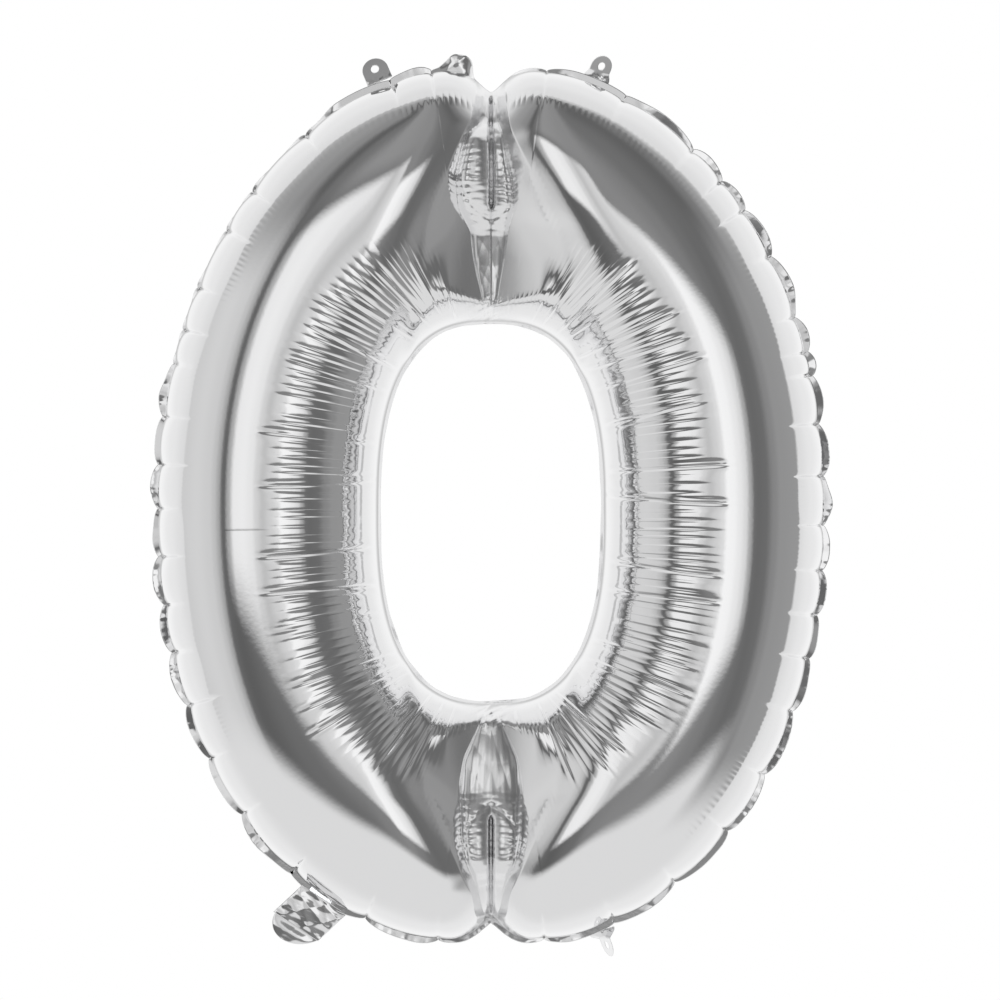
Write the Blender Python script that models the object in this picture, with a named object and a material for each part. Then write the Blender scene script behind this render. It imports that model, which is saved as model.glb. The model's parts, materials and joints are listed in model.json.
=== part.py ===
"""Foil number balloon, a "0": two sheets of metallised film welded along two outlines and inflated.

Metres, +Z up, front face towards -Y. The origin is the centre of the ring, in the plane of the weld.
Rest pose: inflated, with the hanging tabs and the filler neck flat in the plane of the weld.
"""

from math import atan2, cos, pi, radians, sin

import bmesh
import bpy
from mathutils import Vector

# The inflated ring, measured between its weld lines.
BODY_WIDTH = 0.651
BODY_HEIGHT = 0.860
BODY_DEPTH = 0.204
HOLE_WIDTH = 0.220
HOLE_HEIGHT = 0.374
HOLE_DROP = 0.008  # the hole's middle is below the ring's
TOP_ROUNDNESS = 2.07  # superellipse exponents of the outline: 2 is an ellipse, and more is squarer
BOTTOM_ROUNDNESS = 2.17
HOLE_ROUNDNESS = 2.6

# The tube buckles at 12 and 6 o'clock, where its outer weld is drawn in and the faces fold into a valley.
FOLD_ANGLE = radians(4.5)  # half-width of the valley, in the outline's angle
FOLD_NOTCH = 0.024  # how far the outer weld is drawn in
FOLD_VALLEY = 0.55  # share of the depth lost at the outer end of the valley
FOLD_FADE = 0.6  # how the valley runs out towards the hole: less keeps it deep for longer

FOIL = 0.0005  # solid thickness that stands for the 0.04 mm film
WELD = 0.0004  # solid thickness of the two welded plies
GAP = 0.0003  # between pieces that touch
FLANGE = 0.006  # weld allowance outside the outer weld line
HOLE_FLANGE = 0.004  # weld allowance inside the hole
WELD_LAP = 0.0015  # how far each weld runs under the inflated foil

RING_STEPS = 96
SECTION_STEPS = 12
STEP_CROWDING = 0.25  # crowds the ring's steps towards the two valleys

TAB_WIDTH = 0.026
TAB_LENGTH = 0.026
TAB_HOLE_RADIUS = 0.004
TAB_HOLE_HEIGHT = 0.0145  # from the hinge line to the middle of the punched hole
TAB_HINGE_GAP = 0.0012
TAB_ANGLES = {"hang_tab_left": 108.3, "hang_tab_right": 72.7, "hang_tab_bottom": 287.3}

NECK_ANGLE = 242.2
NECK_WIDTH = 0.052
NECK_LENGTH = 0.034  # from the balloon to the neck's own fold
NECK_TIP_LENGTH = 0.026
NECK_HINGE_GAP = 0.0024
PASSAGE_WIDTH = 0.042  # between the neck's side welds
PASSAGE = 0.0005  # height of the flat passage inside the neck

VALVE_WIDTH = 0.036
VALVE_LENGTH = 0.095
VALVE_FILM = 0.00015
VALVE_GAP = 0.0002

SILVER = (0.80, 0.80, 0.81)
CLEAR = (0.86, 0.88, 0.90)


def clear_scene():
    for obj in list(bpy.data.objects):
        bpy.data.objects.remove(obj)


def material(name, colour, roughness, metallic):
    made = bpy.data.materials.new(name)
    made.use_nodes = True
    shader = made.node_tree.nodes["Principled BSDF"]
    shader.inputs["Base Color"].default_value = (*colour, 1)
    shader.inputs["Roughness"].default_value = roughness
    shader.inputs["Metallic"].default_value = metallic
    return made


def outline(width, height, roundness, angle):
    """(x, z) on a superellipse."""
    c, s = cos(angle), sin(angle)
    x = width / 2 * abs(c) ** (2 / roundness) * (1 if c > 0 else -1)
    z = height / 2 * abs(s) ** (2 / roundness) * (1 if s > 0 else -1)
    return Vector((x, z))


def fold(angle):
    """How deep in the nearest valley an angle is: 1 at 12 and 6 o'clock, and 0 away from them."""
    return 2 ** (-((cos(angle) / sin(FOLD_ANGLE)) ** 2))


def outer_weld(angle):
    roundness = TOP_ROUNDNESS if sin(angle) > 0 else BOTTOM_ROUNDNESS
    point = outline(BODY_WIDTH, BODY_HEIGHT, roundness, angle)
    point.y -= FOLD_NOTCH * fold(angle) * (1 if point.y > 0 else -1)
    return point


def hole_weld(angle):
    return outline(HOLE_WIDTH, HOLE_HEIGHT, HOLE_ROUNDNESS, angle) - Vector((0, HOLE_DROP))


def outward(weld, angle, step=radians(0.5)):
    """Unit normal of a weld line, in its plane and away from the ring's centre."""
    along = weld(angle + step) - weld(angle - step)
    return Vector((along.y, -along.x)).normalized()


def ring_angles():
    """Once round the ring, with no step on a corner of the superellipse formula."""
    turns = [2 * pi * (i + 0.5) / RING_STEPS for i in range(RING_STEPS)]
    return [turn + STEP_CROWDING * sin(2 * turn) for turn in turns]


def new_object(name, mesh_of, skin, parent=None):
    mesh = bpy.data.meshes.new(name)
    mesh_of.to_mesh(mesh)
    mesh_of.free()
    mesh.materials.append(skin)
    mesh.shade_smooth()
    mesh.set_sharp_from_angle(angle=radians(40))
    obj = bpy.data.objects.new(name, mesh)
    bpy.context.scene.collection.objects.link(obj)
    obj.parent = parent
    return obj


def thicken(obj, thickness, offset=0.0):
    solid = obj.modifiers.new("Thickness", "SOLIDIFY")
    solid.thickness = thickness
    solid.offset = offset
    solid.use_even_offset = True
    return obj


def strip_mesh(rows, closed):
    """A sheet through rows of points. A closed one joins its last row to its first."""
    sheet = bmesh.new()
    grid = [[sheet.verts.new(point) for point in row] for row in rows]
    pairs = list(zip(grid, grid[1:] + grid[:1])) if closed else list(zip(grid, grid[1:]))
    for row, following in pairs:
        for i in range(len(row) - 1):
            sheet.faces.new((row[i], row[i + 1], following[i + 1], following[i]))
    return sheet


def foil_point(angle, share, side):
    """A point of one inflated foil: share 0 is the outer weld and 1 is the hole's weld. Side -1 is the front."""
    across = (1 - cos(pi * share)) / 2
    point = outer_weld(angle).lerp(hole_weld(angle), across)
    valley = 1 - FOLD_VALLEY * fold(angle) * (1 - across) ** FOLD_FADE
    rim = WELD / 2 + GAP
    depth = rim + (BODY_DEPTH / 2 - rim) * sin(pi * share) * valley
    return Vector((point.x, side * depth, point.y))


def foil(name, side, skin):
    """One inflated sheet, from weld to weld. Its thickness lies inside the balloon."""
    shares = [i / SECTION_STEPS for i in range(SECTION_STEPS + 1)]
    if side > 0:
        shares.reverse()
    rows = [[foil_point(angle, share, side) for share in shares] for angle in ring_angles()]
    return thicken(new_object(name, strip_mesh(rows, closed=True), skin), FOIL, offset=-1.0)


def weld_band(name, weld, inner, outer, skin):
    """The flat ring where both plies are fused, between two distances from a weld line."""
    rows = []
    for angle in ring_angles():
        middle, away = weld(angle), outward(weld, angle)
        edges = [middle + away * distance for distance in (outer, inner)]
        rows.append([Vector((edge.x, 0, edge.y)) for edge in edges])
    return thicken(new_object(name, strip_mesh(rows, closed=True), skin), WELD)


def root_hinge(name, angle, gap):
    """An empty on a live hinge outside the flange: its Z points away from the ring and its X along the hinge."""
    away = outward(outer_weld, radians(angle))
    root = outer_weld(radians(angle)) + away * (FLANGE + gap / 2)
    hinge = bpy.data.objects.new(name + "_hinge", None)
    hinge.location = (root.x, 0, root.y)
    hinge.rotation_euler = (0, atan2(away.x, away.y), 0)
    bpy.context.scene.collection.objects.link(hinge)
    return hinge


def tongue(width, length, start, corner_steps=9):
    """A flat tongue's outline as (x, z): two corners at its root, and one round end."""
    radius = width / 2
    bend = min(radius, length - start)
    arc = [pi * i / (2 * corner_steps) for i in range(2 * corner_steps + 1)]
    points = [Vector((radius * cos(turn), length - bend + bend * sin(turn))) for turn in arc]
    return [Vector((radius, start)), *points, Vector((-radius, start))]


def hang_tab(name, angle, skin):
    """A welded tab with a punched hole for the ribbon that the balloon hangs on."""
    hinge = root_hinge(name, angle, TAB_HINGE_GAP)
    edge = tongue(TAB_WIDTH, TAB_LENGTH, TAB_HINGE_GAP / 2)
    eye = Vector((0, TAB_HOLE_HEIGHT))
    root_left, root_right = edge[-1], edge[0]
    edge += [root_left.lerp(root_right, share / 4) for share in (1, 2, 3)]
    rows = []
    for point in edge:
        rim = eye + (point - eye).normalized() * TAB_HOLE_RADIUS
        rows.append([Vector((point.x, 0, point.y)), Vector((rim.x, 0, rim.y))])
    return thicken(new_object(name, strip_mesh(rows, closed=True), skin, hinge), WELD)


def plate(points, depth, name, skin, parent):
    """A flat plate of the given outline, centred on the plane of the weld."""
    body = bmesh.new()
    face = body.faces.new([body.verts.new((p.x, -depth / 2, p.y)) for p in points])
    raised = bmesh.ops.extrude_face_region(body, geom=[face])["geom"]
    corners = [item for item in raised if isinstance(item, bmesh.types.BMVert)]
    bmesh.ops.translate(body, verts=corners, vec=(0, depth, 0))
    bmesh.ops.recalc_face_normals(body, faces=body.faces)
    return new_object(name, body, skin, parent)


def cut(target, cutter):
    """Removes a helper's shape from a piece. The helper isn't part of the object."""
    cutter.hide_render = True
    cutter.display_type = "WIRE"
    boolean = target.modifiers.new("Cut " + cutter.name, "BOOLEAN")
    boolean.operation = "DIFFERENCE"
    boolean.solver = "EXACT"
    boolean.object = cutter


def rectangle(width, low, high):
    half = width / 2
    return [Vector((half, low)), Vector((half, high)), Vector((-half, high)), Vector((-half, low))]


def filler_neck(skin):
    """The flat filling tube in two lengths, which fold on each other and at the balloon."""
    root = root_hinge("neck", NECK_ANGLE, NECK_HINGE_GAP)
    fold_line = bpy.data.objects.new("neck_fold_hinge", None)
    bpy.context.scene.collection.objects.link(fold_line)
    fold_line.parent = root
    fold_line.location = (0, 0, NECK_LENGTH)

    thickness = 2 * WELD + PASSAGE
    near, far = NECK_HINGE_GAP / 2, NECK_LENGTH - NECK_HINGE_GAP / 2
    beyond = 0.01  # how far a cutter passes the ends
    sleeve = plate(rectangle(NECK_WIDTH, near, far), thickness, "neck_sleeve", skin, root)
    tip_edge = tongue(NECK_WIDTH, NECK_TIP_LENGTH, near)
    tip = plate(tip_edge, thickness, "neck_tip", skin, fold_line)
    for piece, parent, end in ((sleeve, root, far), (tip, fold_line, NECK_TIP_LENGTH)):
        slot = rectangle(PASSAGE_WIDTH, near - beyond, end + beyond)
        cut(piece, plate(slot, PASSAGE, piece.name + "_passage", skin, parent))
    return root


def neck_opening(band, root, skin):
    """Leaves the neck's passage unwelded, so that gas can pass the outer weld."""
    depth = 4 * WELD
    reach = FLANGE + WELD_LAP + NECK_HINGE_GAP
    opening = rectangle(PASSAGE_WIDTH, -2 * reach, reach)
    cut(band, plate(opening, depth, "unwelded_passage", skin, root))


def valve_film(name, side, root, skin):
    """One of the two clear films of the self-closing valve, from the neck into the balloon."""
    start = -NECK_HINGE_GAP / 2
    edge = rectangle(VALVE_WIDTH, start - VALVE_LENGTH, start)
    film = plate(edge, VALVE_FILM, name, skin, root)
    film.location.y = side * (VALVE_GAP + VALVE_FILM) / 2
    return film


def build():
    clear_scene()
    silver = material("silver_foil", SILVER, 0.12, 1.0)
    clear = material("clear_film", CLEAR, 0.25, 0.0)

    foil("front_foil", -1, silver)
    foil("back_foil", 1, silver)
    band = weld_band("outer_weld_band", outer_weld, -WELD_LAP, FLANGE, silver)
    weld_band("inner_weld_band", hole_weld, -HOLE_FLANGE, WELD_LAP, silver)
    for name, angle in TAB_ANGLES.items():
        hang_tab(name, angle, silver)
    root = filler_neck(silver)
    neck_opening(band, root, silver)
    valve_film("valve_film_front", -1, root, clear)
    valve_film("valve_film_back", 1, root, clear)


build()
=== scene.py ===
"""The looks of the foil number balloon "0": two mirror-bright films welded along two outlines and inflated.

The film can't stretch. A round tube needs less length round its rims than the flat sheets have. This script
puts the spare film where a real balloon does: in puffs and pinches along the outer weld, in fine pleats
towards the hole, and in one deep fold each at 12 and 6 o'clock.
"""

import json
from math import atan2, cos, pi, radians, sin

import bpy
import numpy as np
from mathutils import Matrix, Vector


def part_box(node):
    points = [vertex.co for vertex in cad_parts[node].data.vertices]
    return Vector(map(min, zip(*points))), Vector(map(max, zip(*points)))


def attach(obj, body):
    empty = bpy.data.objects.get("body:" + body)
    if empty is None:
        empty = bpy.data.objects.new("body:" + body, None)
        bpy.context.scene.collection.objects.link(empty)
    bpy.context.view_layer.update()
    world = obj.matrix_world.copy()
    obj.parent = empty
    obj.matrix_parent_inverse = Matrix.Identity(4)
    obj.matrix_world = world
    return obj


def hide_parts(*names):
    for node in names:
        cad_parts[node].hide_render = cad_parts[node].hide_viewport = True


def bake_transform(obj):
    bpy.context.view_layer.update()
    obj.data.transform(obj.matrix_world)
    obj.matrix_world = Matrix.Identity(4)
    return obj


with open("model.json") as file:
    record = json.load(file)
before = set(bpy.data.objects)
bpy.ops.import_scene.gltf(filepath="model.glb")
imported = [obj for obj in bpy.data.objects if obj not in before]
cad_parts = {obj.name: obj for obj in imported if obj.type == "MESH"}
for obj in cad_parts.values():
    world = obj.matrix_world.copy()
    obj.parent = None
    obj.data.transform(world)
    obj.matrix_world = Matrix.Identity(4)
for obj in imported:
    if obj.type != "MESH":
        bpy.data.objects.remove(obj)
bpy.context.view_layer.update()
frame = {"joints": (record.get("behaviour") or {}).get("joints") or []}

# Outlines of the welds: half width, half height, roundness above and below the middle, height of the middle.
OUTER_WELD = (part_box("front_foil")[1].x, 0.430, 2.07, 2.17, 0.0)
HOLE_WELD = (0.110, 0.187, 2.6, 2.6, -0.008)
MIDDLE = tuple((outer + hole) / 2 for outer, hole in zip(OUTER_WELD, HOLE_WELD))
DEPTH = -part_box("front_foil")[0].y

CELLS = 200  # fine pleats round the ring
CELL_COLUMNS = 8  # mesh columns in each
FOLD_COLUMNS = 16  # the same where the two deep folds are
ROWS = 66  # mesh rows from the outer weld to the hole
FOLD_ROWS = 6  # times as many rows where the two deep folds are
FOLD_REACH = 0.040  # half-width of that finer mesh
PINCH_COLUMNS = (-0.0011, -0.0005, 0.0, 0.0005, 0.0011)  # extra mesh columns beside each pinch
EXTRA_ROWS = (  # where the mesh rows are closer: from, to, soft edge, and how many more
    (0.00, 0.04, 0.02, 1.2),  # at the outer weld
    (0.17, 0.29, 0.03, 1.2),  # at the rim's short wrinkles
    (0.44, 0.90, 0.03, 0.5),  # at the pleats
    (0.97, 1.00, 0.02, 0.8),  # at the hole's weld
)
OUTLINE_STEPS = 20000  # steps by which an outline is measured
CLOCK_STEPS = 4000  # steps by which angles are turned into turns
SHARE_STEPS = 2000  # steps by which the mesh rows are spaced

# Wrinkles. Heights, depths and widths are in metres. Starts and ends are places on the way across the film:
# the outer weld is 0, the crest of the tube is 0.5 and the hole is 1. Pairs are the least and the most.
PUFF_HEIGHTS = (0.0022, 0.0044)
PUFF_FADE = (0.04, 0.21)
PINCH_DEPTHS = (0.0012, 0.0026)
PINCH_ENDS = (0.20, 0.27)
PINCH_WIDTH = 0.0012
SERRATION_HEIGHT = 0.00048
SERRATION_ROW = 0.238
PLEAT_HEIGHT = 0.00078
PLEAT_START = 0.505
PLEAT_END = 0.765
RIDGE_HEIGHTS = (0.0005, 0.0012)
RIDGE_STARTS = (0.46, 0.52)
RIDGE_ENDS = (0.84, 0.90)
RIDGE_WIDTH = 0.0013
RIDGE_TROUGH = 0.0034  # from a ridge to the middle of the trough on each side of it
PACKING_DEPTH = 0.00012
PACKING_WIDTH = 0.0016
PACKING_TURNS = (0.262, 0.738)
KINK_WIDTH = 0.15  # pleats change within about this distance of 12 and 6 o'clock

# The two deep folds. A stage is a share of the way from the notch in the outer weld to the hole.
NOTCH_DEPTH = 0.026
NOTCH_WIDTH = 0.021
FOLD_STAGES = (0.0, 0.15, 0.20, 0.30, 0.40, 0.52, 0.62, 0.75, 0.85, 1.0)
FACET_SLOPES = (2.1, 2.1, 1.2, 0.80, 0.80, 0.80, 0.76, 0.71, 0.67, 0.62)
TOP_RIDGES = {  # half-width where a limb's round surface breaks into the fold's flat facet, on each side
    -1: (0.014, 0.019, 0.025, 0.036, 0.044, 0.055, 0.061, 0.066, 0.065, 0.062),
    1: (0.014, 0.017, 0.020, 0.031, 0.043, 0.054, 0.064, 0.073, 0.072, 0.069),
}
TOP_TONGUES = {  # half-width of the film that bulges between the facets
    -1: (0.006, 0.008, 0.022, 0.027, 0.033, 0.031, 0.019, 0.016, 0.011, 0.004),
    1: (0.006, 0.007, 0.011, 0.014, 0.020, 0.022, 0.016, 0.012, 0.008, 0.003),
}
BOTTOM_RIDGES = (0.014, 0.019, 0.025, 0.034, 0.043, 0.054, 0.063, 0.068, 0.067, 0.064)
BOTTOM_TONGUES = (0.006, 0.012, 0.016, 0.024, 0.028, 0.029, 0.029, 0.026, 0.017, 0.003)
TOP_SPLIT = 0.57  # the stage where a tongue's two lips end in one strip
BOTTOM_SPLIT = 0.54
LIP_HEIGHT = 0.0115
LIP_CREST = 0.52  # from the centre crease, 0, to the tongue's side, 1
STRIP_HEIGHT = 0.0105
CENTRE_DEPTH = 0.016
CENTRE_WIDTH = 0.0011
FOLD_EDGE = 0.060  # half-width of the rim that the folds smooth

FLANGE = 0.0062  # width of the outer weld's allowance
HOLE_FLANGE = 0.004  # width of the hole weld's allowance
PLY = 0.0003  # thickness given to two welded plies
FIN_PLACE = -0.034  # the crumpled fin near 12 o'clock: its middle, half-width and height
FIN_WIDTH = 0.013
FIN_HEIGHT = 0.011
FLANGE_STEPS = 3200
HOLE_FLANGE_STEPS = 1200

TAB_WIDTH = 0.026
TAB_LENGTH = 0.026
TAB_HOLE_RADIUS = 0.004
TAB_HOLE_HEIGHT = 0.0145  # from the hinge to the middle of the punched hole
NECK_WIDTH = 0.052
NECK_LENGTH = 0.034
NECK_TIP_LENGTH = 0.026
NECK_SWAY = 0.24  # how far the neck swings towards 9 o'clock for each metre away from the ring
VALVE_WIDTH = 0.036
VALVE_LENGTH = 0.095
VALVE_FILM = 0.00015

RIM_SEED = 11  # both films and the weld have the same puffs and pinches

# Pinches of the outer weld, in degrees clockwise from 12 o'clock.
PINCHES = (
    7, 16, 25.5, 30.5, 35, 42, 52, 58, 62, 71.5, 82.5, 94, 104, 113, 121, 130, 140, 148.5, 157, 165, 173,
    187, 195.5, 205, 214, 222.5, 231, 240, 249, 259, 270, 280, 290, 300, 306, 313, 322, 328, 337, 348, 352.5,
)


# ---------------------------------------------------------------- small helpers


def rise(x, low, high):
    """0 below low, 1 above high, and smooth between."""
    t = np.clip((x - low) / (high - low), 0, 1)
    return t * t * (3 - 2 * t)


def within(x, low, high, soft):
    """1 between low and high, 0 outside them, and smooth over soft to each side of both."""
    return rise(x, low - soft, low + soft) * (1 - rise(x, high - soft, high + soft))


def arch(share):
    """A bulge between two sharp valleys, over a share from 0 to 1."""
    return 4 * share * (1 - share)


def wander(turn, count, seed):
    """A smooth random curve round the ring, through count evenly spaced values from -1 to 1."""
    knots = np.random.default_rng(seed).uniform(-1, 1, count)
    place = (turn % 1) * count
    index = place.astype(int)
    share = rise(place - index, 0, 1)
    return knots[index % count] * (1 - share) + knots[(index + 1) % count] * share


def crumple(x, z, size, seed, waves=5):
    """Sharp-valleyed random facets about size across, from about -1 to 1."""
    rng = np.random.default_rng(seed)
    total = np.zeros_like(x)
    for _ in range(waves):
        angle, phase, stretch = rng.uniform(0, pi), rng.uniform(0, pi), rng.uniform(0.7, 1.5)
        total += np.abs(np.sin((x * cos(angle) + z * sin(angle)) * pi / (size * stretch) + phase))
    return (total / waves - 2 / pi) * 2.2


# ---------------------------------------------------------------- the ring's plan


def superellipse(outline, angle):
    """Points of an outline at angles from 3 o'clock."""
    half_width, half_height, above, below, middle = outline
    c, s = np.cos(angle), np.sin(angle)
    power = np.where(s > 0, above, below)
    x = half_width * np.sign(c) * np.abs(c) ** (2 / power)
    z = half_height * np.sign(s) * np.abs(s) ** (2 / power) + middle
    return np.stack([x, z], -1)


def walk(outline, turn):
    """Points evenly spaced along an outline. Turn 0 is 12 o'clock, and it runs clockwise."""
    angles = pi / 2 - np.linspace(0, 2 * pi, OUTLINE_STEPS + 1)
    points = superellipse(outline, angles)
    length = np.concatenate([[0], np.cumsum(np.linalg.norm(np.diff(points, axis=0), axis=1))])
    along = (turn % 1) * length[-1]
    return np.stack([np.interp(along, length, points[:, i]) for i in (0, 1)], -1)


def perimeter(outline):
    """The length of an outline."""
    points = walk(outline, np.linspace(0, 1, OUTLINE_STEPS // 10, endpoint=False))
    return np.linalg.norm(points - np.roll(points, 1, axis=0), axis=1).sum()


def reach(start, direction, outline, far, halvings=40):
    """Where rays from start meet an outline. Far is further than that, and negative against the direction."""
    half_width, half_height, above, below, middle = outline
    low, high = np.zeros(len(start)), np.full(len(start), far)
    outward = 1 if far > 0 else -1

    def level(distance):
        at = start + direction * distance[:, None]
        power = np.where(at[:, 1] > middle, above, below)
        return (np.abs(at[:, 0]) / half_width) ** power + (np.abs(at[:, 1] - middle) / half_height) ** power

    for _ in range(halvings):
        half = (low + high) / 2
        past = (level(half) - 1) * outward > 0
        high = np.where(past, half, high)
        low = np.where(past, low, half)
    return start + direction * low[:, None]


def plan_lines(turn):
    """The outer weld, the hole's weld and the outward normal, for each turn round the ring."""
    middle = walk(MIDDLE, turn)
    step = 0.004  # in turns, to each side
    far = 0.3  # further than either weld
    along = walk(MIDDLE, turn + step) - walk(MIDDLE, turn - step)
    normal = np.stack([-along[:, 1], along[:, 0]], -1)
    normal /= np.linalg.norm(normal, axis=1)[:, None]
    return reach(middle, normal, OUTER_WELD, far), reach(middle, normal, HOLE_WELD, -far), normal


def notch(x):
    """How far the outer weld is drawn in at a distance from 12 or 6 o'clock."""
    return NOTCH_DEPTH * np.exp(-((np.abs(x) / NOTCH_WIDTH) ** 1.5))


# ---------------------------------------------------------------- columns and rows


def cell_edges(seed):
    """Edges of the fine pleats, as turns. 12 and 6 o'clock are edges."""
    rng = np.random.default_rng(seed)
    halves = []
    for start in (0, 0.5):
        widths = rng.uniform(0.75, 1.25, CELLS // 2)
        halves.append(start + np.concatenate([[0], np.cumsum(widths)[:-1]]) / widths.sum() / 2)
    return np.concatenate(halves)


def section_rows(count):
    """Shares of the way across the film, closer together where it is wrinkled."""
    share = np.linspace(0, 1, SHARE_STEPS + 1)
    density = np.ones(len(share))
    for low, high, soft, more in EXTRA_ROWS:
        density += more * within(share, low, high, soft)
    total = np.concatenate([[0], np.cumsum(density)[:-1]])
    rows = np.interp(np.linspace(0, total[-1], count + 1), total, share)
    rows[0], rows[-1] = 0, 1
    return rows


class Ring:
    """Everything that depends only on the turn round the ring, one value for each turn."""

    def __init__(self, turn):
        self.turn = turn
        self.outer, self.hole, self.normal = plan_lines(turn)
        self.kink = np.exp(-((walk(MIDDLE, turn)[:, 0] / KINK_WIDTH) ** 2))
        pinches = pinch_turns()
        after = np.searchsorted(pinches, turn) % len(pinches)
        before = (after - 1) % len(pinches)
        gap = (pinches[after] - pinches[before]) % 1
        self.puff = before
        self.puff_share = ((turn - pinches[before]) % 1) / gap
        self.puff_length = gap * perimeter(OUTER_WELD)


class Columns(Ring):
    """A film's mesh columns: several to each fine pleat, more at the two deep folds, some at each pinch."""

    def __init__(self, seed):
        edges = cell_edges(seed)
        ends = np.append(edges[1:], 1)
        pinches = pinch_turns()
        folded = np.abs(walk(MIDDLE, (edges + ends) / 2)[:, 0]) < FOLD_REACH
        beside = np.array(PINCH_COLUMNS) / perimeter(OUTER_WELD)
        margin = 0.0006  # in turns, so that the extra columns stay inside their pleat
        turns, cells = [], []
        for cell, (start, end) in enumerate(zip(edges, ends)):
            count = FOLD_COLUMNS if folded[cell] else CELL_COLUMNS
            inside = pinches[(pinches > start + margin) & (pinches < end - margin)]
            extra = [] if folded[cell] else (inside[:, None] + beside).ravel()
            found = np.unique(np.concatenate([np.linspace(start, end, count, endpoint=False), extra]))
            turns.append(found)
            cells.append(np.full(len(found), cell))
        turn = np.concatenate(turns)
        self.cell = np.concatenate(cells)
        self.share = (turn - edges[self.cell]) / (ends - edges)[self.cell]
        self.edges = edges
        self.fold = folded[self.cell]
        super().__init__(turn)


def turn_of_clock(degrees):
    """The turn at which the middle line passes an angle from 12 o'clock."""
    turns = np.linspace(0, 1, CLOCK_STEPS + 1)
    points = walk(MIDDLE, turns[:-1])
    angles = np.degrees(np.arctan2(points[:, 0], points[:, 1] - MIDDLE[4])) % 360
    return float(np.interp(degrees, np.append(angles, 360), turns))


def pinch_turns():
    """The turns of all pinches."""
    return np.array([turn_of_clock(angle) for angle in PINCHES])


# ---------------------------------------------------------------- wrinkles


def rim_puffs(ring, col, row, seed):
    """Puffs along the outer weld, and the sharp pinches between them."""
    rng = np.random.default_rng(seed)
    count = len(PINCHES)
    share, length = ring.puff_share[col], ring.puff_length[col]
    before = ring.puff[col]
    after = (before + 1) % count
    height = rng.uniform(*PUFF_HEIGHTS, count)[before]
    puffs = height * (arch(share) ** 0.7 - 0.62) * (1 - rise(row, *PUFF_FADE))
    depth, end = rng.uniform(*PINCH_DEPTHS, count), rng.uniform(*PINCH_ENDS, count)
    crease = np.zeros_like(share)
    for pinch, distance in ((before, share * length), (after, (1 - share) * length)):
        fade = 1 - rise(row, end[pinch] - 0.06, end[pinch] + 0.02)
        crease -= depth[pinch] * np.exp(-distance / PINCH_WIDTH) * fade
    return puffs + crease


def rim_serrations(columns, col, row):
    """Fine short wrinkles where the rim turns to the front, strongest towards 12 o'clock."""
    fine = (columns.share[col] * 2) % 1
    turn = columns.turn[col]
    high = 0.5 + 0.5 * np.cos(2 * pi * turn)
    strength = np.clip(0.12 + 0.75 * high**1.5 + 0.55 * wander(turn, 37, 5), 0, 1.2)
    middle = SERRATION_ROW + 0.012 * wander(turn, 61, 6)
    band = within(row, middle - 0.016, middle + 0.014, 0.018)
    return SERRATION_HEIGHT * arch(fine) ** 0.8 * strength * band


def inner_pleats(columns, col, row, seed):
    """Fine pleats from the crest of the tube towards the hole, fainter and shorter near the deep folds."""
    rng = np.random.default_rng(seed)
    cell = columns.cell[col]
    turn, kink = columns.turn[col], columns.kink[col]
    height = rng.uniform(0.65, 1.3, CELLS)[cell] * (PLEAT_HEIGHT + 0.00016 * wander(turn, 23, seed + 1))
    height *= 1 - 0.45 * kink
    start = PLEAT_START + 0.15 * kink
    start += rng.uniform(-0.020, 0.020, CELLS)[cell] + 0.015 * wander(turn, 17, seed + 2)
    end = PLEAT_END + 0.13 * kink**4
    end += rng.uniform(-0.010, 0.014, CELLS)[cell] + 0.012 * wander(turn, 19, seed + 3)
    length = rise(row, start - 0.03, start + 0.08) * (1 - rise(row, end - 0.026, end + 0.026))
    return height * arch(columns.share[col]) ** 0.75 * length


def long_ridges(columns, col, row, round_length, seed):
    """Sharp ridges as long as the pleats, a few pleats apart, each between two shallow troughs."""
    rng = np.random.default_rng(seed)
    total = np.zeros(len(col))
    edge = 3
    while edge < CELLS - 2:
        place = columns.edges[edge]
        height = rng.uniform(*RIDGE_HEIGHTS)
        start, end = rng.uniform(*RIDGE_STARTS), rng.uniform(*RIDGE_ENDS)
        lean = rng.uniform(-0.02, 0.02)
        away = (columns.turn[col] - place + 0.5) % 1 - 0.5
        near = np.abs(away) < 0.02
        metres = away[near] * round_length[near] + lean * (row[near] - 0.65)
        ridge = np.exp(-((metres / RIDGE_WIDTH) ** 2))
        ridge -= 0.7 * np.exp(-(((np.abs(metres) - RIDGE_TROUGH) / 0.0022) ** 2))
        begin = start + 0.20 * columns.kink[col][near]
        total[near] += height * ridge * within(row[near], begin, end, 0.035)
        edge += int(rng.integers(3, 9))
    return total


def fold_marks(columns, col, row, round_length):
    """Faint creases near 3 and 9 o'clock, left from the flat packing."""
    total = np.zeros(len(col))
    for place in PACKING_TURNS:
        metres = (columns.turn[col] - place) * round_length
        total -= PACKING_DEPTH * np.exp(-((metres / PACKING_WIDTH) ** 2)) * within(row, 0.10, 0.96, 0.04)
    return total


# ---------------------------------------------------------------- the two deep folds


def at_stage(stage, table):
    """A smooth curve through a table of the folds' stages."""
    fine = np.linspace(0, 1, 401)
    spread = 21  # steps of the fine stages to each side that are averaged
    weights = np.hanning(2 * spread + 1)
    padded = np.pad(np.interp(fine, FOLD_STAGES, table), spread, mode="edge")
    return np.interp(stage, fine, np.convolve(padded, weights / weights.sum(), "valid"))


def by_side(x, z, stage, top, bottom):
    """A half-width from the tables: the top fold has one for each side, the bottom fold one for both."""
    left, right, lower = at_stage(stage, top[-1]), at_stage(stage, top[1]), at_stage(stage, bottom)
    side = rise(x, -0.001, 0.001)
    return np.where(z > 0, left * (1 - side) + right * side, lower)


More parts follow.
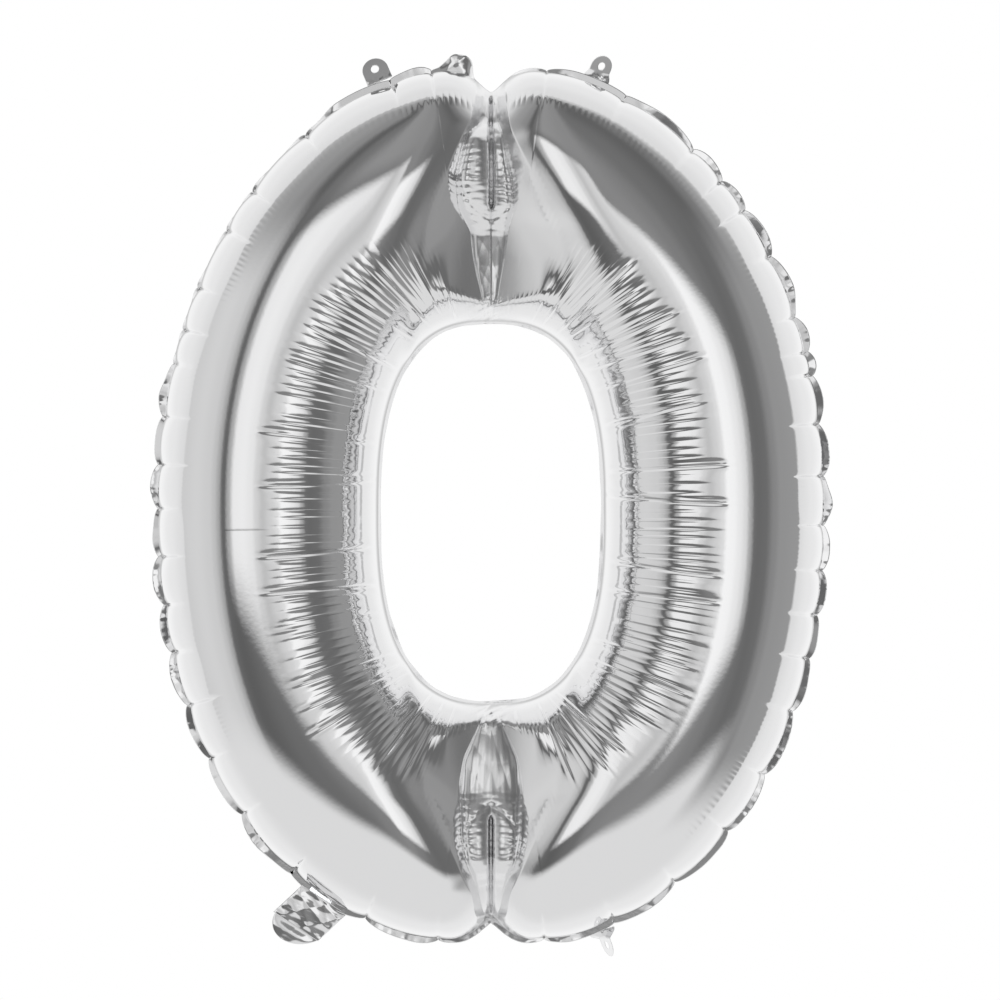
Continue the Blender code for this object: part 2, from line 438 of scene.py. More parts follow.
def smooth_lower(first, second, soft):
    """The lower of two surfaces, with a rounded edge where they cross."""
    share = np.clip(0.5 + 0.5 * (second - first) / soft, 0, 1)
    return second * (1 - share) + first * share - soft * share * (1 - share)


def limb_ends(away, stage, ridge, tongue, depth):
    """The limbs' round surfaces, which slope towards the fold, and the flat facets that dive into it."""
    inside = rise(ridge - away, -0.025, 0.025)
    flat = 0.6 * rise(stage, 0.16, 0.32) + 0.4 * rise(stage, 0.50, 0.70)
    level = depth + (0.94 * DEPTH - depth) * inside * flat
    slope = at_stage(stage, FACET_SLOPES)
    beyond = np.linspace(0, 0.08, 161)  # from the ridge outwards, where the slope eases off
    ease = 0.46 * (1 - rise(beyond, 0.006, 0.062))
    ease_drop = np.cumsum(ease[::-1])[::-1] * beyond[1]
    drop = np.interp(away - ridge, beyond, ease_drop)
    drop += slope * np.maximum(ridge - np.maximum(away, tongue), 0)
    limit = 0.80 * level + 1e-9
    facet = level - limit * np.tanh(drop / limit)
    cap = depth + 0.008 * (1 - rise(stage, 0.42, 0.72)) + 0.020 * rise(away, 0.08, 0.17)
    soft = 0.007 * np.sqrt(np.clip(depth / DEPTH, 0, 1)) + 1e-6
    return smooth_lower(facet, cap, soft)


def tongue_bulge(across, stage, tongue, split):
    """The film between the facets: two lips that meet in a deep crease, then past the split one strip."""
    lips = 1 - rise(stage, split - 0.03, split + 0.06)
    outside = np.clip((across - LIP_CREST) / (1 - LIP_CREST), 0, 1)
    inside = np.clip((LIP_CREST - across) / LIP_CREST, 0, 1)
    two = np.sqrt(1 - outside**2) - 0.45 * inside**1.7
    stripe = 0.0062
    stripes = 0.008 * np.cos(2 * pi * across * tongue / stripe + 9 * stage)
    one = np.sqrt(1 - np.clip(across, 0, 1) ** 2) + stripes
    size = np.clip(tongue / 0.030, 0.1, 1.2)
    return (across < 1) * size * (LIP_HEIGHT * two * lips + STRIP_HEIGHT * one * (1 - lips))


def fold_creases(away, across, stage, z, span, split):
    """The crease between the lips, a curved one where they end, folds at their sides and fine wrinkles."""
    total = -CENTRE_DEPTH * np.exp(-away / CENTRE_WIDTH) * within(stage, 0.03, split - 0.05, 0.02)
    past_curve = (stage - split) * span + 0.3 * away + 22 * away**2
    total -= 0.0011 * np.exp(-((past_curve / 0.0028) ** 2)) * (1 - rise(across, 0.70, 1.0))
    side_fold = 0.0074
    wide = (np.abs(z) / side_fold + 0.5 * across) % 1
    total += 0.0008 * arch(wide) * within(stage, 0.25, split + 0.03, 0.03) * within(across, 0.64, 1.0, 0.10)
    level_lines = crumple(0.3 * away, z, 0.0046, 61, 3) * within(stage, 0.20, split + 0.06, 0.03)
    upright_lines = crumple(away, 0.25 * z, 0.0052, 62, 3) * within(stage, split + 0.06, 0.97, 0.03)
    return total + 0.00034 * (level_lines + upright_lines) * (1 - rise(across, 0.90, 1.05))


def fold_depth(x, z, depth, seed):
    """The film's depth near 12 and 6 o'clock."""
    away = np.abs(x)
    weld_end = OUTER_WELD[1] - NOTCH_DEPTH
    hole_end = HOLE_WELD[1] + np.sign(z) * HOLE_WELD[4]
    span = weld_end - hole_end
    stage = np.clip((weld_end - np.abs(z)) / span, 0, 1)
    split = np.where(z > 0, TOP_SPLIT, BOTTOM_SPLIT)
    tongue = by_side(x, z, stage, TOP_TONGUES, BOTTOM_TONGUES)
    ridge = by_side(x, z, stage, TOP_RIDGES, BOTTOM_RIDGES)
    across = away / tongue

    shaped = limb_ends(away, stage, ridge, tongue, depth)
    shaped += tongue_bulge(across, stage, tongue, split) * within(stage, 0.20, 0.97, 0.05)
    pucker = 0.004 * np.sqrt(1 - np.clip(across, 0, 1) ** 2)
    shaped += pucker * within(stage, 0.04, 0.19, 0.02)
    shaped += fold_creases(away, across, stage, z, span, split) * rise(depth, 0.01, 0.04)

    knot = np.exp(-((away / 0.006) ** 2 + ((stage - 0.15) / 0.040) ** 2))
    gather = np.exp(-((away / 0.013) ** 2 + ((0.98 - stage) / 0.050) ** 2))
    rough = 0.0016 * crumple(x, z, 0.0080, 31 + seed) * knot
    rough += 0.00448 * crumple(x, z, 0.0052, 47 + seed) * gather
    return np.maximum(shaped + rough * rise(depth, 0, 0.01), 0)


# ---------------------------------------------------------------- the inflated film


def film_points(columns, col, row, side, seed):
    """Points of one inflated film. Side -1 is the front."""
    across = (1 - np.cos(pi * row)) / 2
    outer, hole, normal = columns.outer[col], columns.hole[col], columns.normal[col]
    plan = outer + (hole - outer) * across[:, None]
    depth = DEPTH * np.sin(pi * row)
    round_length = perimeter(OUTER_WELD) * (1 - across) + perimeter(HOLE_WELD) * across

    beside = near_fold(plan[:, 0])
    pleated = 1 - beside * (1 - rise(row, 0.62, 0.70))
    wrinkle = rim_puffs(columns, col, row, RIM_SEED) * (1 - 0.6 * beside)
    wrinkle += rim_serrations(columns, col, row)
    wrinkle += inner_pleats(columns, col, row, seed) * pleated
    wrinkle += long_ridges(columns, col, row, round_length, seed + 7) * pleated
    wrinkle += fold_marks(columns, col, row, round_length)
    wrinkle *= 1 - rise(row, 0.94, 1)

    plan = plan + normal * (wrinkle * np.cos(pi * row))[:, None]
    depth = depth + wrinkle * np.sin(pi * row)
    plan[:, 1] -= np.sign(plan[:, 1]) * notch(plan[:, 0]) * (1 - across) ** 1.5
    folds_end = 0.25  # further out than this the folds change nothing
    near = np.abs(plan[:, 0]) < folds_end
    depth[near] = fold_depth(plan[near, 0], plan[near, 1], depth[near], seed)
    depth[(row <= 0) | (row >= 1)] = 0
    y = side * depth + weld_wave(columns)[col] * (1 - rise(row, 0, 0.12))
    return np.stack([plan[:, 0], y, plan[:, 1]], -1)


def near_fold(x):
    """1 at 12 and 6 o'clock, and 0 away from them."""
    return np.exp(-((np.abs(x) / FOLD_EDGE) ** 6))


def beside_pieces(turn):
    """1 where a tab or the neck joins the weld, and 0 away from them."""
    flat = np.zeros(len(turn))
    for name in ("neck_sleeve", "hang_tab_left", "hang_tab_right", "hang_tab_bottom"):
        low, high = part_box(name)
        middle = (low + high) / 2
        angle = np.degrees(atan2(middle.x, middle.z - MIDDLE[4])) % 360
        away = (turn - turn_of_clock(angle) + 0.5) % 1 - 0.5
        flat = np.maximum(flat, 1 - rise(np.abs(away), 0.010, 0.022))
    return flat


def weld_wave(ring):
    """How far the outer weld wanders out of its plane: each puff leans to the front or the back."""
    lean = np.random.default_rng(3).uniform(-0.0028, 0.0028, len(PINCHES))
    return lean[ring.puff] * np.sin(pi * ring.puff_share) * (1 - beside_pieces(ring.turn))


def film_mesh(name, side, seed):
    """One inflated film. Its columns have more rows where the two deep folds are."""
    columns = Columns(1 if side < 0 else 2)
    coarse = section_rows(ROWS)
    fine = np.interp(np.arange(ROWS * FOLD_ROWS + 1) / FOLD_ROWS, np.arange(ROWS + 1), coarse)
    rows_of = [fine if fold else coarse for fold in columns.fold]
    counts = np.array([len(rows) for rows in rows_of])
    start = np.concatenate([[0], np.cumsum(counts)])
    col = np.repeat(np.arange(len(rows_of)), counts)
    points = film_points(columns, col, np.concatenate(rows_of), side, seed)
    mesh = bpy.data.meshes.new(name)
    mesh.from_pydata(points.tolist(), [], film_faces(start, counts, side))
    mesh.shade_smooth()
    return mesh


def film_faces(start, counts, side):
    """Faces between neighbouring columns. Where their rows differ, a face takes several of the finer ones."""
    faces = []
    for here in range(len(counts)):
        there = (here + 1) % len(counts)
        a, b = start[here], start[there]
        steps = min(counts[here], counts[there]) - 1
        jump_a, jump_b = (counts[here] - 1) // steps, (counts[there] - 1) // steps
        for i in range(steps):
            left = [a + i * jump_a + k for k in range(jump_a + 1)]
            right = [b + i * jump_b + k for k in range(jump_b, -1, -1)]
            faces.append(left + right if side > 0 else (left + right)[::-1])
    return faces


def add_piece(name, mesh, material, replaced, body=None, thickness=0.0):
    """A finished piece."""
    mesh.materials.append(material)
    piece = bpy.data.objects.new(name, mesh)
    bpy.context.scene.collection.objects.link(piece)
    if thickness:
        solid = piece.modifiers.new("Film", "SOLIDIFY")
        solid.thickness = thickness
        solid.offset = 0
    if body:
        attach(piece, body)
    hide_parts(*replaced)
    return piece


def grid_mesh(name, points, closed=False):
    """A sheet through a grid of points, indexed u, v and then x, y, z. A closed one is joined along u."""
    steps_u, steps_v = points.shape[:2]
    index = np.arange(steps_u * steps_v).reshape(steps_u, steps_v)
    if closed:
        index = np.concatenate([index, index[:1]])
    corners = (index[:-1, :-1], index[1:, :-1], index[1:, 1:], index[:-1, 1:])
    faces = np.stack([corner.ravel() for corner in corners], -1)
    mesh = bpy.data.meshes.new(name)
    mesh.from_pydata(points.reshape(-1, 3).tolist(), [], faces.tolist())
    mesh.shade_smooth()
    return mesh


# ---------------------------------------------------------------- the weld allowances


def weld_edge(ring):
    """The outer weld as points in space, and its outward normal in plan."""
    every = np.arange(len(ring.turn))
    puffs = rim_puffs(ring, every, np.zeros(len(every)), RIM_SEED)
    plan = ring.outer + ring.normal * (puffs * (1 - 0.6 * near_fold(ring.outer[:, 0])))[:, None]
    plan[:, 1] -= np.sign(plan[:, 1]) * notch(plan[:, 0])
    along = np.roll(plan, -2, axis=0) - np.roll(plan, 2, axis=0)
    normal = np.stack([-along[:, 1], along[:, 0]], -1)
    normal /= np.linalg.norm(normal, axis=1)[:, None]
    return np.stack([plan[:, 0], weld_wave(ring), plan[:, 1]], -1), normal


def leaf_leans():
    """How far each puff's allowance leans to the back. In two stretches it has rolled behind the ring."""
    lean = radians(38) * np.random.default_rng(17).uniform(-1, 1, len(PINCHES))
    clock = np.array(PINCHES)
    lean[((clock > 290) & (clock < 345)) | (clock > 350)] = radians(86)
    return lean


def outer_flange():
    """The welded edge outside the ring: one crinkled leaf to each puff, leaning to the front or the back."""
    ring = Ring(np.arange(FLANGE_STEPS) / FLANGE_STEPS)
    edge, normal = weld_edge(ring)
    joined = beside_pieces(ring.turn)
    swell = arch(ring.puff_share) ** 0.6
    width = FLANGE * (0.30 + 0.85 * swell) * (1 + 0.25 * wander(ring.turn, 97, 18))
    width = width * (1 - joined) + FLANGE * joined
    fin = np.exp(-(((ring.outer[:, 0] - FIN_PLACE) / FIN_WIDTH) ** 4)) * (ring.outer[:, 1] > 0)
    width += FIN_HEIGHT * fin * (0.7 + 0.5 * wander(ring.turn, 331, 19))
    angle = leaf_leans()[ring.puff] * swell * (1 - joined) * (1 - fin)
    rough = (0.35 + 0.65 * np.clip(0.5 + wander(ring.turn, 71, 20), 0, 1)) * (1 - joined)
    fluted = 0.0005 * wander(ring.turn, 613, 21) + 0.0007 * wander(ring.turn, 263, 22)
    rows = []
    for share in np.linspace(-0.12, 1, 9):
        out = width * share
        plan = edge[:, [0, 2]] + normal * (out * np.cos(angle))[:, None]
        crumpled = crumple(plan[:, 0], plan[:, 1], 0.014, 23, 3)
        crinkle = fluted * rough * (1 - fin) + 0.0022 * crumpled * fin
        y = edge[:, 1] + out * np.sin(angle) + crinkle * max(share, 0)
        rows.append(np.stack([plan[:, 0], y, plan[:, 1]], -1))
    return grid_mesh("outer_weld", np.stack(rows, 1), closed=True)


def hole_flange():
    """The welded edge inside the hole, which stands back at a slant and waves a little."""
    ring = Ring(np.arange(HOLE_FLANGE_STEPS) / HOLE_FLANGE_STEPS)
    slant = radians(58) + radians(9) * wander(ring.turn, 41, 23)
    gathered = np.exp(-((ring.hole[:, 0] / 0.018) ** 2))
    rows = []
    for share in np.linspace(-0.2, 1, 8):
        out = HOLE_FLANGE * share * (1 + 0.2 * wander(ring.turn, 53, 24))
        plan = ring.hole - ring.normal * (out * np.cos(slant))[:, None]
        wave = 0.0004 * wander(ring.turn, 29, 25)
        wave += 0.0014 * crumple(plan[:, 0], plan[:, 1], 0.004, 26) * gathered
        y = out * np.sin(slant) + wave * max(share, 0)
        rows.append(np.stack([plan[:, 0], y, plan[:, 1]], -1))
    return grid_mesh("hole_weld", np.stack(rows, 1), closed=True)


# ---------------------------------------------------------------- tabs, neck and valve


class Hinge:
    """A joint's place and directions: along its axis, and away from the ring."""

    def __init__(self, name):
        joint = next(j for j in frame["joints"] if j["name"] == name)
        self.place = Vector(joint["pos_m"])
        self.along = Vector(joint["axis"]).normalized()
        self.away = self.along.cross(Vector((0, 1, 0)))

    def points(self, along, away, y):
        """Points at a distance along the axis, away from the ring and towards the back."""
        flat = np.multiply.outer(along, np.array(self.along)) + np.multiply.outer(away, np.array(self.away))
        flat[..., 1] += y
        return flat + np.array(self.place)

    def beyond(self, distance):
        """The point at a distance from the hinge, away from the ring."""
        return tuple(self.place + self.away * distance)


def tab_edge(side, up):
    """How far a tab's edge is from the middle of its hole, in directions given by their two parts."""
    half, eye = TAB_WIDTH / 2, TAB_HOLE_HEIGHT
    round_end = TAB_LENGTH - half
    overlap = 0.0004  # past the hinge, into the weld's allowance
    tiny, far = 1e-6, 1.0
    to_side = half / np.maximum(np.abs(side), tiny)
    to_root = np.where(up < 0, (eye + overlap) / np.maximum(-up, tiny), far)
    step = round_end - eye
    to_arc = up * step + np.sqrt(np.maximum(half**2 - (side * step) ** 2, 0))
    return np.minimum(np.where(eye + up * to_side > round_end, to_arc, to_side), to_root)


def hang_tab(name, hinge, lean, twist, curl, seed):
    """A flat tab with a punched hole, bent out of the weld's plane: rings of points from hole to edge."""
    turn = np.linspace(0, 2 * pi, 145)[:-1]
    side, up = np.sin(turn), np.cos(turn)
    edge = tab_edge(side, up)
    rows = []
    for share in np.linspace(0, 1, 12):
        radius = TAB_HOLE_RADIUS + (edge - TAB_HOLE_RADIUS) * share
        along, away = side * radius, TAB_HOLE_HEIGHT + up * radius
        crease = 0.0005 * crumple(along, away, 0.006, seed) * (1 - rise(away, 0.002, 0.009))
        turned = twist * rise(away, -0.002, 0.009)
        raised = np.maximum(away, 0) * sin(lean) + curl * np.maximum(away, 0) ** 2 + along * np.sin(turned)
        rows.append(hinge.points(along * np.cos(turned), away * cos(lean), raised + crease))
    return grid_mesh(name, np.stack(rows, 1), closed=True)


def neck_tube(name, hinge, start, end, seed, crinkle, skew, round_end):
    """A length of the flat filling tube: both plies in one closed loop, open at its two ends.

    Skew is its shift to one side at the start, what each metre adds to that, and how strongly it curls to the
    back, or to the front where it is negative.
    """
    turn = np.linspace(0, 2 * pi, 121)[:-1]
    rows = []
    for away in np.linspace(start, end, 64):
        half = NECK_WIDTH / 2
        past = max((away - (end - half)) / half, 0)
        if round_end:
            half *= np.sqrt(max(1 - past**2, 0.001))
        across = np.cos(turn) * half
        front = -np.sin(turn)
        gap = np.sign(front) * np.abs(front) ** 0.7
        swell = 0.0006 + 0.0014 * np.sin(pi * (away - start) / (end - start)) ** 2
        level = np.full(len(turn), away)
        sheet = crumple(across, level, 0.017, seed, 3) + 0.2 * crumple(across, level, 0.008, seed + 1, 3)
        soften = rise(away, start, start + 0.004) * rise(end - away, -0.001, 0.004)
        y = -gap * swell + crinkle * sheet * soften
        shift = skew[0] + skew[1] * (away - start)
        rows.append(hinge.points(across + shift, level, y + skew[2] * (away - start) ** 2))
    return grid_mesh(name, np.stack(rows, 1), closed=True)


def valve_sheet(name, hinge, side):
    """One clear film of the self-closing valve, from the neck into the balloon."""
    across, away = np.meshgrid(np.linspace(-0.5, 0.5, 25), np.linspace(0, 1, 65), indexing="ij")
    along = across * VALVE_WIDTH
    gap = 0.0012  # between the neck's root and the valve
    inward = -gap - away * VALVE_LENGTH
    y = side * (0.00018 + 0.00012 * np.sin(away * 9) ** 2 * (1 - (2 * across) ** 2))
    return grid_mesh(name, hinge.points(along, inward, y))


# ---------------------------------------------------------------- materials


def noise(nodes, scale, detail):
    """A noise node: how fine it is, and how much finer detail it has."""
    node = nodes.new("ShaderNodeTexNoise")
    node.inputs["Scale"].default_value = scale
    node.inputs["Detail"].default_value = detail
    return node


def onto_range(nodes, low, high):
    """A node that maps 0 to 1 onto low to high."""
    node = nodes.new("ShaderNodeMapRange")
    node.inputs["To Min"].default_value = low
    node.inputs["To Max"].default_value = high
    return node


def foil_material(name, roughness, ripple, creased=0.0):
    """Bright metallised film: nearly a mirror, with a faint ripple.

    Creased is the extra roughness along the two deep folds, which lie on the part's middle line.
    """
    made = bpy.data.materials.new(name)
    made.use_nodes = True
    nodes, links = made.node_tree.nodes, made.node_tree.links
    shader = nodes["Principled BSDF"]
    shader.inputs["Base Color"].default_value = (0.90, 0.90, 0.905, 1)
    shader.inputs["Metallic"].default_value = 1.0
    place = nodes.new("ShaderNodeTexCoord")
    cloud = noise(nodes, 38, 4)
    gloss = onto_range(nodes, roughness * 0.7, roughness * 1.4)
    grain = noise(nodes, 260, 3)
    bump = nodes.new("ShaderNodeBump")
    bump.inputs["Strength"].default_value = 1.0
    bump.inputs["Distance"].default_value = ripple
    split = nodes.new("ShaderNodeSeparateXYZ")
    away = nodes.new("ShaderNodeMath")
    away.operation = "ABSOLUTE"
    dull = onto_range(nodes, creased, 0.0)
    dull.inputs["From Min"].default_value = 0.018
    dull.inputs["From Max"].default_value = 0.040
    total = nodes.new("ShaderNodeMath")
    total.operation = "ADD"
    links.new(place.outputs["Object"], cloud.inputs["Vector"])
    links.new(place.outputs["Object"], grain.inputs["Vector"])
    links.new(place.outputs["Object"], split.inputs["Vector"])
    links.new(split.outputs["X"], away.inputs[0])
    links.new(away.outputs["Value"], dull.inputs["Value"])
    links.new(cloud.outputs["Fac"], gloss.inputs["Value"])
    links.new(gloss.outputs["Result"], total.inputs[0])
    links.new(dull.outputs["Result"], total.inputs[1])
    links.new(total.outputs["Value"], shader.inputs["Roughness"])
    links.new(grain.outputs["Fac"], bump.inputs["Height"])
    links.new(bump.outputs["Normal"], shader.inputs["Normal"])
    return made


def clear_film_material():
    """Clear polyethylene, with faint cloudy streaks."""
    made = bpy.data.materials.new("clear_film_sheet")
    made.use_nodes = True
    nodes, links = made.node_tree.nodes, made.node_tree.links
    shader = nodes["Principled BSDF"]
    shader.inputs["Base Color"].default_value = (0.86, 0.88, 0.90, 1)
    shader.inputs["Transmission Weight"].default_value = 0.85
    shader.inputs["IOR"].default_value = 1.5
    place = nodes.new("ShaderNodeTexCoord")
    cloud = noise(nodes, 90, 3)
    gloss = onto_range(nodes, 0.12, 0.35)
    bump = nodes.new("ShaderNodeBump")
    bump.inputs["Strength"].default_value = 0.6
    bump.inputs["Distance"].default_value = 0.0001
    links.new(place.outputs["Object"], cloud.inputs["Vector"])
    links.new(cloud.outputs["Fac"], gloss.inputs["Value"])
    links.new(gloss.outputs["Result"], shader.inputs["Roughness"])
    links.new(cloud.outputs["Fac"], bump.inputs["Height"])
    links.new(bump.outputs["Normal"], shader.inputs["Normal"])
    return made


# ---------------------------------------------------------------- studio


class Shading:
    """Short forms for the nodes of the room's light. Values are numbers or the outputs of other nodes."""

    def __init__(self, tree):
        self.nodes, self.links = tree.nodes, tree.links

    def math(self, operation, *inputs):
        """The result of a sum, a product or another operation."""
        node = self.nodes.new("ShaderNodeMath")
        node.operation = operation
        for socket, value in zip(node.inputs, inputs):
            if isinstance(value, (int, float)):
                socket.default_value = value
            else:
                self.links.new(value, socket)
        return node.outputs["Value"]

    def ramp(self, value, stops):
        """A brightness that follows a value through stops, each a place from 0 to 1 and a brightness."""
        node = self.nodes.new("ShaderNodeValToRGB")
        node.color_ramp.interpolation = "EASE"
        elements = node.color_ramp.elements
        while len(elements) < len(stops):
            elements.new(0.5)
        for element, (place, bright) in zip(elements, stops):
            element.position = place
            element.color = (bright, bright, bright, 1)
        self.links.new(value, node.inputs["Fac"])
        return node.outputs["Color"]

    def blend(self, share, first, second):
        """The first brightness where the share is 0, and the second where it is 1."""
        node = self.nodes.new("ShaderNodeMix")
        node.data_type = "RGBA"
        for name, value in (("Factor", share), ("A", first), ("B", second)):
            kind = "VALUE" if name == "Factor" else "RGBA"
            socket = next(s for s in node.inputs if s.name == name and s.type == kind)
            if isinstance(value, float):
                socket.default_value = (value, value, value, 1)
            else:
                self.links.new(value, socket)
        return next(s for s in node.outputs if s.type == "RGBA")


def facing(degrees, bright):
    """A ramp's stop at a direction in plan: 0 is straight in front of the ring, and 90 is to its right."""
    return degrees / 360 + 0.5, bright


def rising(height, bright):
    """A ramp's stop at a direction's height: -1 is straight down, and 1 is straight up."""
    return height / 2 + 0.5, bright


def room_walls(shading, around, height):
    """The room in front of the ring: walls, and a ceiling above them."""
    walls = shading.ramp(around, [
        facing(-102, 0.64), facing(-75, 0.70), facing(-60, 0.66), facing(-54, 0.57), facing(-49, 0.42),
        facing(-45, 0.14), facing(-38, 0.12), facing(-15, 0.16), facing(0, 0.23), facing(15, 0.26),
        facing(25, 0.22), facing(36, 0.17), facing(44, 0.15), facing(52, 0.16), facing(62, 0.26),
        facing(70, 0.31), facing(94, 0.33), facing(102, 0.62),
    ])
    ceiling = shading.ramp(around, [
        facing(-100, 0.46), facing(-75, 0.33), facing(-58, 0.27), facing(-47, 0.12), facing(-40, 0.18),
        facing(-26, 0.30), facing(15, 0.27), facing(35, 0.17), facing(60, 0.13), facing(72, 0.20),
        facing(85, 0.36), facing(100, 0.60),
    ])
    upper = shading.ramp(height, [rising(0.38, 0.0), rising(0.66, 1.0)])
    return shading.blend(upper, walls, ceiling)


def soft_lights(shading, around, height):
    """Two soft lights in front of the ring, a taller one to its left and a lower one to its right."""
    lights = shading.ramp(around, [
        facing(-45, 0.0), facing(-38, 0.45), facing(-33, 0.90), facing(-24, 0.92), facing(-15, 0.86),
        facing(-10, 0.70), facing(-4, 0.57), facing(3, 0.68), facing(8, 0.78), facing(12, 1.0),
        facing(18, 0.98), facing(25, 0.88), facing(31, 0.74), facing(35, 0.42), facing(42, 0.0),
    ])
    tall = [rising(-0.16, 0.0), rising(-0.03, 1.0), rising(0.40, 1.0), rising(0.56, 0.0)]
    low = [rising(-0.24, 0.0), rising(-0.10, 1.0), rising(0.16, 1.0), rising(0.32, 0.0)]
    right = shading.ramp(around, [facing(5, 0.0), facing(12, 1.0)])
    lit = shading.blend(right, shading.ramp(height, tall), shading.ramp(height, low))
    return shading.math("MULTIPLY", lit, lights)


def floor_reach(shading, around, height):
    """How much of the floor is seen in a direction. It starts lower down on the right."""
    lower = shading.ramp(height, [rising(-0.50, 1.0), rising(-0.33, 0.0)])
    lower_right = shading.ramp(height, [rising(-0.72, 1.0), rising(-0.46, 0.0)])
    right = shading.ramp(around, [facing(46, 0.0), facing(64, 1.0)])
    return shading.blend(right, lower, lower_right)


def studio_world():
    """White for the camera. In reflections, a pale room with a white backdrop and two soft lights."""
    world = bpy.data.worlds.new("studio")
    bpy.context.scene.world = world
    world.use_nodes = True
    nodes, links = world.node_tree.nodes, world.node_tree.links
    nodes.clear()
    shading = Shading(world.node_tree)

    place = nodes.new("ShaderNodeTexCoord")
    split = nodes.new("ShaderNodeSeparateXYZ")
    links.new(place.outputs["Generated"], split.inputs["Vector"])
    x, y, z = split.outputs  # the direction that is looked in
    around = shading.math("ARCTAN2", x, shading.math("MULTIPLY", y, -1.0))
    around = shading.math("ADD", shading.math("DIVIDE", around, 2 * pi), 0.5)
    height = shading.math("ADD", shading.math("DIVIDE", z, 2.0), 0.5)
    depth = shading.math("ADD", shading.math("DIVIDE", y, 2.0), 0.5)

    floor_bright = 0.77
    front = room_walls(shading, around, height)
    front = shading.math("MAXIMUM", front, soft_lights(shading, around, height))
    front = shading.blend(floor_reach(shading, around, height), front, floor_bright)
    behind = shading.ramp(depth, [(0.530, 0.0), (0.570, 1.0)])
    backdrop = shading.ramp(depth, [(0.56, 0.78), (0.75, 0.88), (0.93, 0.98), (0.975, 0.60)])
    room = shading.blend(behind, front, backdrop)
    light = nodes.new("ShaderNodeLightPath")
    seen = shading.blend(light.outputs["Is Camera Ray"], room, 1.0)
    background = nodes.new("ShaderNodeBackground")
    output = nodes.new("ShaderNodeOutputWorld")
    links.new(seen, background.inputs["Color"])
    links.new(background.outputs["Background"], output.inputs["Surface"])


def floor():
    """A plain pale floor, low enough to stay out of the first view."""
    mesh = bpy.data.meshes.new("floor")
    left, right, near, far, height = -12.0, 12.0, -16.0, 3.6, -1.0
    corners = [(left, near, height), (right, near, height), (right, far, height), (left, far, height)]
    mesh.from_pydata(corners, [], [(0, 1, 2, 3)])
    paint = bpy.data.materials.new("floor_paint")
    paint.use_nodes = True
    nodes, links = paint.node_tree.nodes, paint.node_tree.links
    shader = nodes["Principled BSDF"]
    shader.inputs["Roughness"].default_value = 0.7
    place = nodes.new("ShaderNodeTexCoord")
    cloud = noise(nodes, 2.5, 2)
    tint = nodes.new("ShaderNodeValToRGB")
    tint.color_ramp.elements[0].color = (0.80, 0.80, 0.80, 1)
    tint.color_ramp.elements[1].color = (0.84, 0.84, 0.84, 1)
    links.new(place.outputs["Object"], cloud.inputs["Vector"])
    links.new(cloud.outputs["Fac"], tint.inputs["Fac"])
    links.new(tint.outputs["Color"], shader.inputs["Base Color"])
    mesh.materials.append(paint)
    made = bpy.data.objects.new("floor", mesh)
    bpy.context.scene.collection.objects.link(made)
    made.visible_glossy = False


def overhead_light():
    """A wide soft light that fills the floor and stays out of the foil's reflections."""
    data = bpy.data.lights.new("overhead", "AREA")
    data.shape = "DISK"
    data.size = 14.0
    data.energy = 4200
    lamp = bpy.data.objects.new("overhead", data)
    lamp.location = (0, -3.0, 9.0)
    bpy.context.scene.collection.objects.link(lamp)
    lamp.visible_glossy = False


def camera():
    """Near the height of the ring's middle, square to it, far enough away to flatten the perspective."""
    data = bpy.data.cameras.new("camera")
    data.sensor_width = 36
    distance = 4.0
    width_seen = 0.98062  # at the ring
    data.lens = data.sensor_width * distance / width_seen
    cam = bpy.data.objects.new("camera", data)
    cam.location = (0.0088, -distance, 0.0044)
    cam.rotation_euler = (pi / 2, 0, 0)
    bpy.context.scene.collection.objects.link(cam)
    bpy.context.scene.camera = cam


# ---------------------------------------------------------------- build

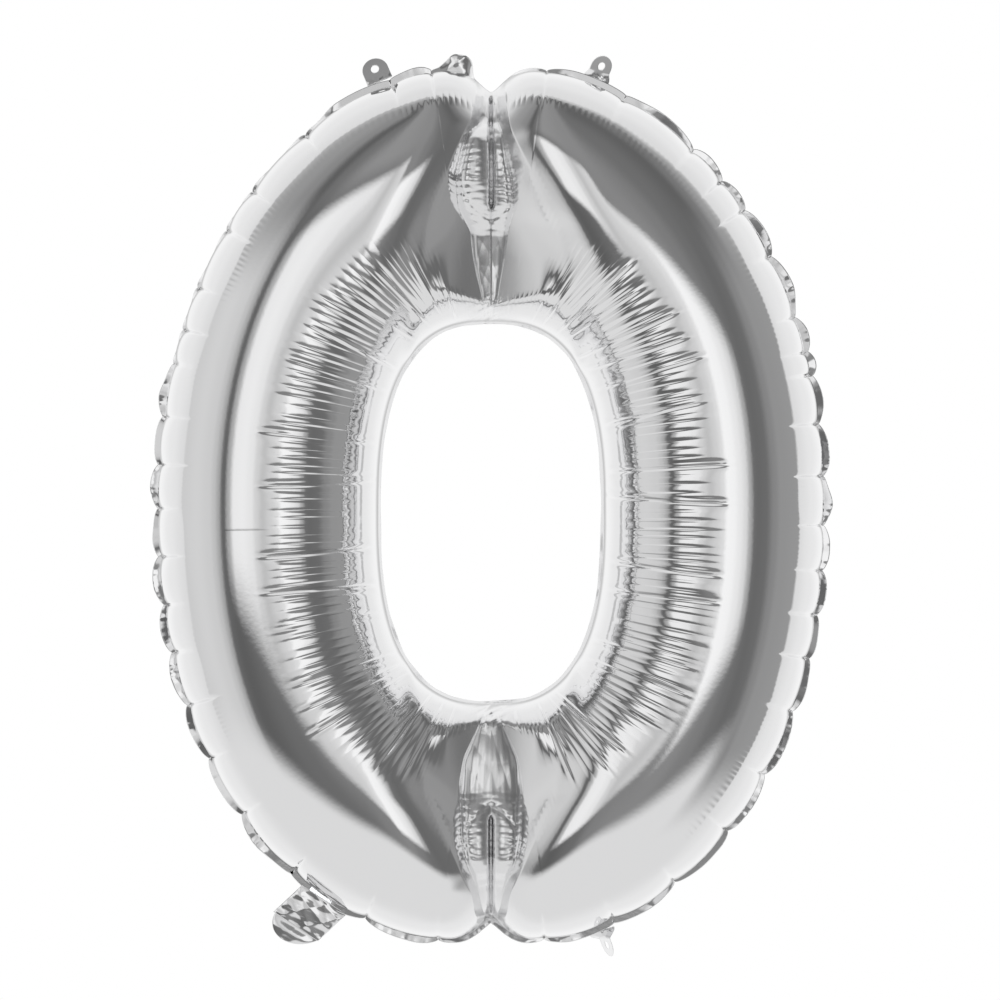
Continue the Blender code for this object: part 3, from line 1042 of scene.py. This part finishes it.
camera()
studio_world()
floor()
overhead_light()
bpy.context.scene.view_settings.view_transform = "Standard"

foil = foil_material("silver_foil_film", 0.06, 0.00002, 0.17)
welded = foil_material("welded_foil", 0.08, 0.00003)
clear = clear_film_material()
add_piece("front_foil_film", film_mesh("front_foil_film", -1, 101), foil, ["front_foil"], "balloon")
add_piece("back_foil_film", film_mesh("back_foil_film", 1, 202), foil, ["back_foil"], "balloon")
add_piece("outer_weld_flange", outer_flange(), welded, ["outer_weld_band"], "balloon", thickness=PLY)
add_piece("hole_weld_flange", hole_flange(), welded, ["inner_weld_band"], "balloon", thickness=PLY)

for place, lean, twist, curl in (  # each tab leans to the back, twists about its own length and curls
    ("left", radians(22), radians(5), -3.0),
    ("right", radians(16), radians(-38), 2.0),
    ("bottom", radians(-12), radians(68), -6.0),
):
    hinge = Hinge("tab_" + place + "_bend")
    mesh = hang_tab("tab_" + place + "_sheet", hinge, lean, twist, curl, len(place))
    tab = add_piece("hang_tab_" + place + "_foil", mesh, welded, ["hang_tab_" + place], thickness=PLY)
    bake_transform(tab)

neck_root, neck_crease = Hinge("neck_bend"), Hinge("neck_fold")
shape = (0.0, NECK_SWAY, 0.0)
mesh = neck_tube("neck_sleeve_tube", neck_root, -0.003, NECK_LENGTH + 0.0004, 5, 0.0007, shape, False)
sleeve = add_piece("neck_sleeve_foil", mesh, welded, ["neck_sleeve"], thickness=PLY)
neck_root.beyond(-0.001)
neck_root.beyond(0.008)
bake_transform(sleeve)
shape = (NECK_SWAY * NECK_LENGTH, 0.30, -3.0)
mesh = neck_tube("neck_tip_tube", neck_crease, -0.0004, NECK_TIP_LENGTH - 0.008, 9, 0.0001, shape, True)
tip = add_piece("neck_tip_foil", mesh, welded, ["neck_tip"], thickness=PLY)
neck_crease.beyond(-0.001)
neck_crease.beyond(0.006)
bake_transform(tip)

for side, end in ((-1, "front"), (1, "back")):
    mesh = valve_sheet("valve_" + end, neck_root, side)
    valve = "valve_film_" + end
    add_piece(valve + "_sheet", mesh, clear, [valve], "balloon", VALVE_FILM)
